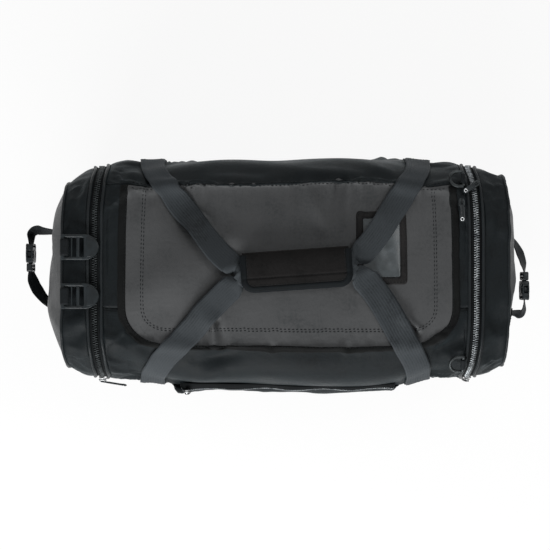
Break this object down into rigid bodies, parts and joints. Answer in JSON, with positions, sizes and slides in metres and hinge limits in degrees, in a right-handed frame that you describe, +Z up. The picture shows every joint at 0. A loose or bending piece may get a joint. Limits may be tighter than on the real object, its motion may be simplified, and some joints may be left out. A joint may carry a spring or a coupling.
{
  "type": "double end kit bag",
  "caption": "Large soft sports bag with a zipped hinged lid, a zipped compartment at each end, webbing carry straps held in a padded wrap, end handles and strap rings.",
  "frame": {"origin": "middle of the underside of the base panel, on the surface the bag stands on", "axes": "+X along the bag towards the end without ladder-lock buckles, +Y towards the lid's hinge side, +Z up"},
  "size_m": [0.7818, 0.3664, 0.3534],
  "materials": {
    "body_fabric": "plain-weave black nylon with a dull sheen",
    "coated_fabric": "heavy coated grey fabric with a fine grain",
    "webbing": "dark grey ribbed webbing",
    "trim_fabric": "black binding and padded cloth",
    "piping": "smooth black piping",
    "zip": "black tape with dark coiled teeth",
    "black_plastic": "moulded black plastic",
    "slider_metal": "nickel-plated zip sliders",
    "pull_tab": "black folded tape",
    "board": "black plastic sheet",
    "window": "clear vinyl"
  },
  "bodies": {
    "bag": {"base_panel": "coated_fabric", "base_board": "board", "front_panel": "body_fabric", "back_panel": "body_fabric", "left_top_gusset": "body_fabric", "right_top_gusset": "body_fabric", "left_divider": "body_fabric", "right_divider": "body_fabric", "lid_zip_body_half": "zip", "left_zip_body_half": "zip", "right_zip_body_half": "zip", "left_body_piping": "piping", "right_body_piping": "piping", "front_pocket": "body_fabric", "pocket_zip": "zip", "front_side_webbing": "webbing", "back_side_webbing": "webbing", "d_ring_tabs": "body_fabric", "lid_slider": "slider_metal", "right_top_slider": "slider_metal", "right_front_slider": "slider_metal", "left_front_slider": "slider_metal"},
    "lid": {"lid_panel": "coated_fabric", "lid_binding": "trim_fabric", "lid_zip_lid_half": "zip", "card_pocket_frame": "trim_fabric", "card_window": "window"},
    "front_strap": {"front_strap": "webbing"},
    "back_strap": {"back_strap": "webbing", "wrap_base": "trim_fabric"},
    "wrap_flap": {"wrap_flap": "trim_fabric"},
    "left_end": {"left_end_gusset": "body_fabric", "left_end_face": "coated_fabric", "left_zip_cap_half": "zip", "left_cap_piping": "piping", "left_handle_tab": "webbing", "left_handle_strap": "webbing", "left_buckle_female": "black_plastic", "ladder_lock_tabs": "webbing"},
    "left_buckle_male": {"left_buckle_male": "black_plastic"},
    "ladder_lock_back": {"ladder_lock_back": "black_plastic"},
    "ladder_lock_front": {"ladder_lock_front": "black_plastic"},
    "right_end": {"right_end_gusset": "body_fabric", "right_end_face": "coated_fabric", "right_zip_cap_half": "zip", "right_cap_piping": "piping", "right_handle_tab": "webbing", "right_handle_strap": "webbing", "right_buckle_female": "black_plastic"},
    "right_buckle_male": {"right_buckle_male": "black_plastic"},
    "d_ring_back": {"d_ring_back": "black_plastic"},
    "d_ring_front": {"d_ring_front": "black_plastic"},
    "lid_pull": {"lid_pull": "pull_tab"},
    "right_top_pull": {"right_top_pull": "pull_tab"},
    "right_front_pull": {"right_front_pull": "pull_tab"},
    "left_front_pull": {"left_front_pull": "pull_tab"},
    "pocket_slider": {"pocket_slider": "slider_metal"},
    "pocket_pull": {"pocket_pull": "pull_tab"}
  },
  "joints": [
    {"name": "lid_hinge", "type": "hinge", "parent": "bag", "child": "lid", "pos_m": [0, 0.13, 0.32615], "axis": [-1, 0, 0], "range_deg": [0, 105], "deforming": ["front_strap", "back_strap"]},
    {"name": "back_strap_swing", "type": "hinge", "parent": "bag", "child": "back_strap", "pos_m": [0, 0.17018, 0.25627], "axis": [-1, 0, 0], "range_deg": [0, 200]},
    {"name": "front_strap_swing", "type": "hinge", "parent": "bag", "child": "front_strap", "pos_m": [0, -0.17018, 0.25627], "axis": [1, 0, 0], "range_deg": [0, 200]},
    {"name": "wrap_flap_open", "type": "hinge", "parent": "back_strap", "child": "wrap_flap", "pos_m": [0.01405, 0.02993, 0.3449], "axis": [-0.9976, -0.0698, 0], "range_deg": [0, 140]},
    {"name": "left_end_hinge", "type": "hinge", "parent": "bag", "child": "left_end", "pos_m": [-0.331, 0, 0.002], "axis": [0, -1, 0], "range_deg": [0, 65]},
    {"name": "right_end_hinge", "type": "hinge", "parent": "bag", "child": "right_end", "pos_m": [0.331, 0, 0.002], "axis": [0, 1, 0], "range_deg": [0, 65]},
    {"name": "left_buckle_release", "type": "slide", "parent": "left_end", "child": "left_buckle_male", "axis": [0, -1, 0], "range_m": [0, 0.024], "deforming": ["left_handle_strap"]},
    {"name": "right_buckle_release", "type": "slide", "parent": "right_end", "child": "right_buckle_male", "axis": [0, 1, 0], "range_m": [0, 0.024], "deforming": ["right_handle_strap"]},
    {"name": "ladder_lock_back_tilt", "type": "hinge", "parent": "left_end", "child": "ladder_lock_back", "pos_m": [-0.328, 0.036, 0.3305], "axis": [0, -1, 0], "range_deg": [0, 110]},
    {"name": "ladder_lock_front_tilt", "type": "hinge", "parent": "left_end", "child": "ladder_lock_front", "pos_m": [-0.328, -0.036, 0.3305], "axis": [0, -1, 0], "range_deg": [0, 110]},
    {"name": "d_ring_back_swing", "type": "hinge", "parent": "bag", "child": "d_ring_back", "pos_m": [0.263, 0.13721, 0.31802], "axis": [0, 0.9063, -0.4226], "range_deg": [0, 120]},
    {"name": "d_ring_front_swing", "type": "hinge", "parent": "bag", "child": "d_ring_front", "pos_m": [0.263, -0.13721, 0.31802], "axis": [0, 0.9063, 0.4226], "range_deg": [0, 120]},
    {"name": "lid_pull_swing", "type": "hinge", "parent": "bag", "child": "lid_pull", "pos_m": [0.26, 0.10275, 0.3295], "axis": [-1, 0, 0], "range_deg": [0, 150]},
    {"name": "right_top_pull_swing", "type": "hinge", "parent": "bag", "child": "right_top_pull", "pos_m": [0.28341, 0.13092, 0.31916], "axis": [-0.5446, 0.8387, 0], "range_deg": [0, 150]},
    {"name": "right_front_pull_swing", "type": "hinge", "parent": "bag", "child": "right_front_pull", "pos_m": [0.282, -0.16917, 0.215], "axis": [-1, 0, 0], "range_deg": [0, 150]},
    {"name": "left_front_pull_swing", "type": "hinge", "parent": "bag", "child": "left_front_pull", "pos_m": [-0.28295, -0.17005, 0.215], "axis": [0, 0, -1], "range_deg": [0, 150]},
    {"name": "pocket_slide", "type": "slide", "parent": "bag", "child": "pocket_slider", "axis": [1, 0, 0], "range_m": [0, 0.3]},
    {"name": "pocket_pull_swing", "type": "hinge", "parent": "pocket_slider", "child": "pocket_pull", "pos_m": [-0.15, -0.18666, 0.246], "axis": [-1, 0, 0], "range_deg": [0, 150]}
  ],
  "couplings": [
    {"joint": "back_strap_swing", "follows": "lid_hinge", "ratio": 1.9},
    {"joint": "front_strap_swing", "follows": "lid_hinge", "ratio": 1.9},
    {"joint": "wrap_flap_open", "follows": "lid_hinge", "ratio": 1.3}
  ]
}
